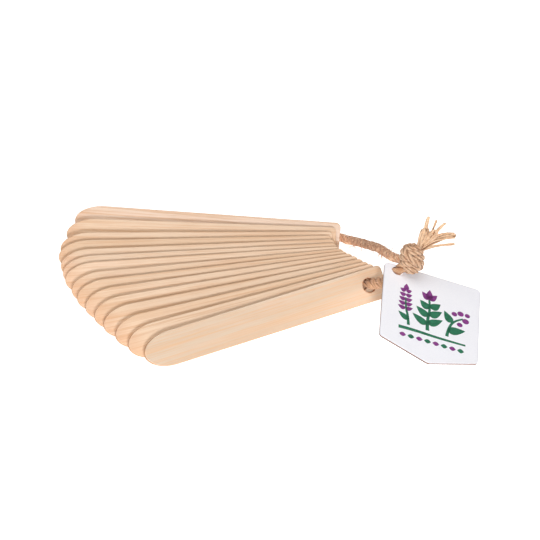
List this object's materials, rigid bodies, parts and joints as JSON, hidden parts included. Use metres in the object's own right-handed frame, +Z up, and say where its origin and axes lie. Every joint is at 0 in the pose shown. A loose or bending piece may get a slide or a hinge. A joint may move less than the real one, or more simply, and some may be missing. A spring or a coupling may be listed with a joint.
{
  "type": "plant label stake bundle",
  "caption": "Bundle of flat wooden plant label stakes with rounded tips, fanned on a knotted jute cord with frayed ends and a small pointed card tag.",
  "frame": {"origin": "the middle of the box round the stakes, the tag and the cord inside the stack, on the ground", "axes": "+X from the stakes' rounded tips to their holes, +Y away from the front stake, +Z up"},
  "size_m": [0.2273, 0.1634, 0.0587],
  "materials": {
    "wood": "unfinished, sanded",
    "jute": "three-ply twisted, hairy",
    "card_core": "cut edge",
    "card_face": "matt, printed on the front"
  },
  "bodies": {
    "cord": {"cord_in_stack": "jute", "cord_back_run": "jute", "cord_front_run": "jute", "cord_knot": "jute", "cord_tails": "jute"},
    "label_01": {"stake_01": "wood"},
    "label_02": {"stake_02": "wood"},
    "label_03": {"stake_03": "wood"},
    "label_04": {"stake_04": "wood"},
    "label_05": {"stake_05": "wood"},
    "label_06": {"stake_06": "wood"},
    "label_07": {"stake_07": "wood"},
    "label_08": {"stake_08": "wood"},
    "label_09": {"stake_09": "wood"},
    "label_10": {"stake_10": "wood"},
    "label_11": {"stake_11": "wood"},
    "label_12": {"stake_12": "wood"},
    "label_13": {"stake_13": "wood"},
    "label_14": {"stake_14": "wood"},
    "label_15": {"stake_15": "wood"},
    "tag": {"tag_board": "card_core", "tag_front_face": "card_face", "tag_back_face": "card_face"}
  },
  "joints": [
    {"name": "stake_01_swing", "type": "hinge", "parent": "cord", "child": "label_01", "pos_m": [0.0304, 0.056, 0.00787], "axis": [0.1266, 0.7991, -0.5878], "range_deg": [-80, 80]},
    {"name": "stake_02_swing", "type": "hinge", "parent": "cord", "child": "label_02", "pos_m": [0.02806, 0.04981, 0.00787], "axis": [0.0635, 0.8065, -0.5878], "range_deg": [-80, 80]},
    {"name": "stake_03_swing", "type": "hinge", "parent": "cord", "child": "label_03", "pos_m": [0.02625, 0.04393, 0.00787], "axis": [-0.0071, 0.809, -0.5878], "range_deg": [-80, 80]},
    {"name": "stake_04_swing", "type": "hinge", "parent": "cord", "child": "label_04", "pos_m": [0.02578, 0.03897, 0.00787], "axis": [-0.0353, 0.8082, -0.5878], "range_deg": [-80, 80]},
    {"name": "stake_05_swing", "type": "hinge", "parent": "cord", "child": "label_05", "pos_m": [0.0273, 0.03412, 0.00787], "axis": [-0.0705, 0.8059, -0.5878], "range_deg": [-80, 80]},
    {"name": "stake_06_swing", "type": "hinge", "parent": "cord", "child": "label_06", "pos_m": [0.02858, 0.0294, 0.00787], "axis": [-0.0916, 0.8038, -0.5878], "range_deg": [-80, 80]},
    {"name": "stake_07_swing", "type": "hinge", "parent": "cord", "child": "label_07", "pos_m": [0.02992, 0.02521, 0.00787], "axis": [-0.1126, 0.8011, -0.5878], "range_deg": [-80, 80]},
    {"name": "stake_08_swing", "type": "hinge", "parent": "cord", "child": "label_08", "pos_m": [0.03274, 0.02181, 0.00787], "axis": [-0.1613, 0.7928, -0.5878], "range_deg": [-80, 80]},
    {"name": "stake_09_swing", "type": "hinge", "parent": "cord", "child": "label_09", "pos_m": [0.03487, 0.01874, 0.00787], "axis": [-0.1957, 0.785, -0.5878], "range_deg": [-80, 80]},
    {"name": "stake_10_swing", "type": "hinge", "parent": "cord", "child": "label_10", "pos_m": [0.03798, 0.01576, 0.00787], "axis": [-0.2365, 0.7737, -0.5878], "range_deg": [-80, 80]},
    {"name": "stake_11_swing", "type": "hinge", "parent": "cord", "child": "label_11", "pos_m": [0.04102, 0.01234, 0.00787], "axis": [-0.2767, 0.7602, -0.5878], "range_deg": [-80, 80]},
    {"name": "stake_12_swing", "type": "hinge", "parent": "cord", "child": "label_12", "pos_m": [0.04421, 0.00854, 0.00787], "axis": [-0.3096, 0.7474, -0.5878], "range_deg": [-80, 80]},
    {"name": "stake_13_swing", "type": "hinge", "parent": "cord", "child": "label_13", "pos_m": [0.04755, 0.00503, 0.00787], "axis": [-0.3546, 0.7271, -0.5878], "range_deg": [-80, 80]},
    {"name": "stake_14_swing", "type": "hinge", "parent": "cord", "child": "label_14", "pos_m": [0.05069, 0.00207, 0.00787], "axis": [-0.3984, 0.7041, -0.5878], "range_deg": [-80, 80]},
    {"name": "stake_15_swing", "type": "hinge", "parent": "cord", "child": "label_15", "pos_m": [0.05502, -0.00007, 0.00787], "axis": [-0.4406, 0.6785, -0.5878], "range_deg": [-80, 80]},
    {"name": "tag_swing", "type": "hinge", "parent": "cord", "child": "tag", "pos_m": [0.0694, -0.0211, 0.02765], "axis": [0.312, -0.2504, 0.9165], "range_deg": [-25, 40]}
  ]
}
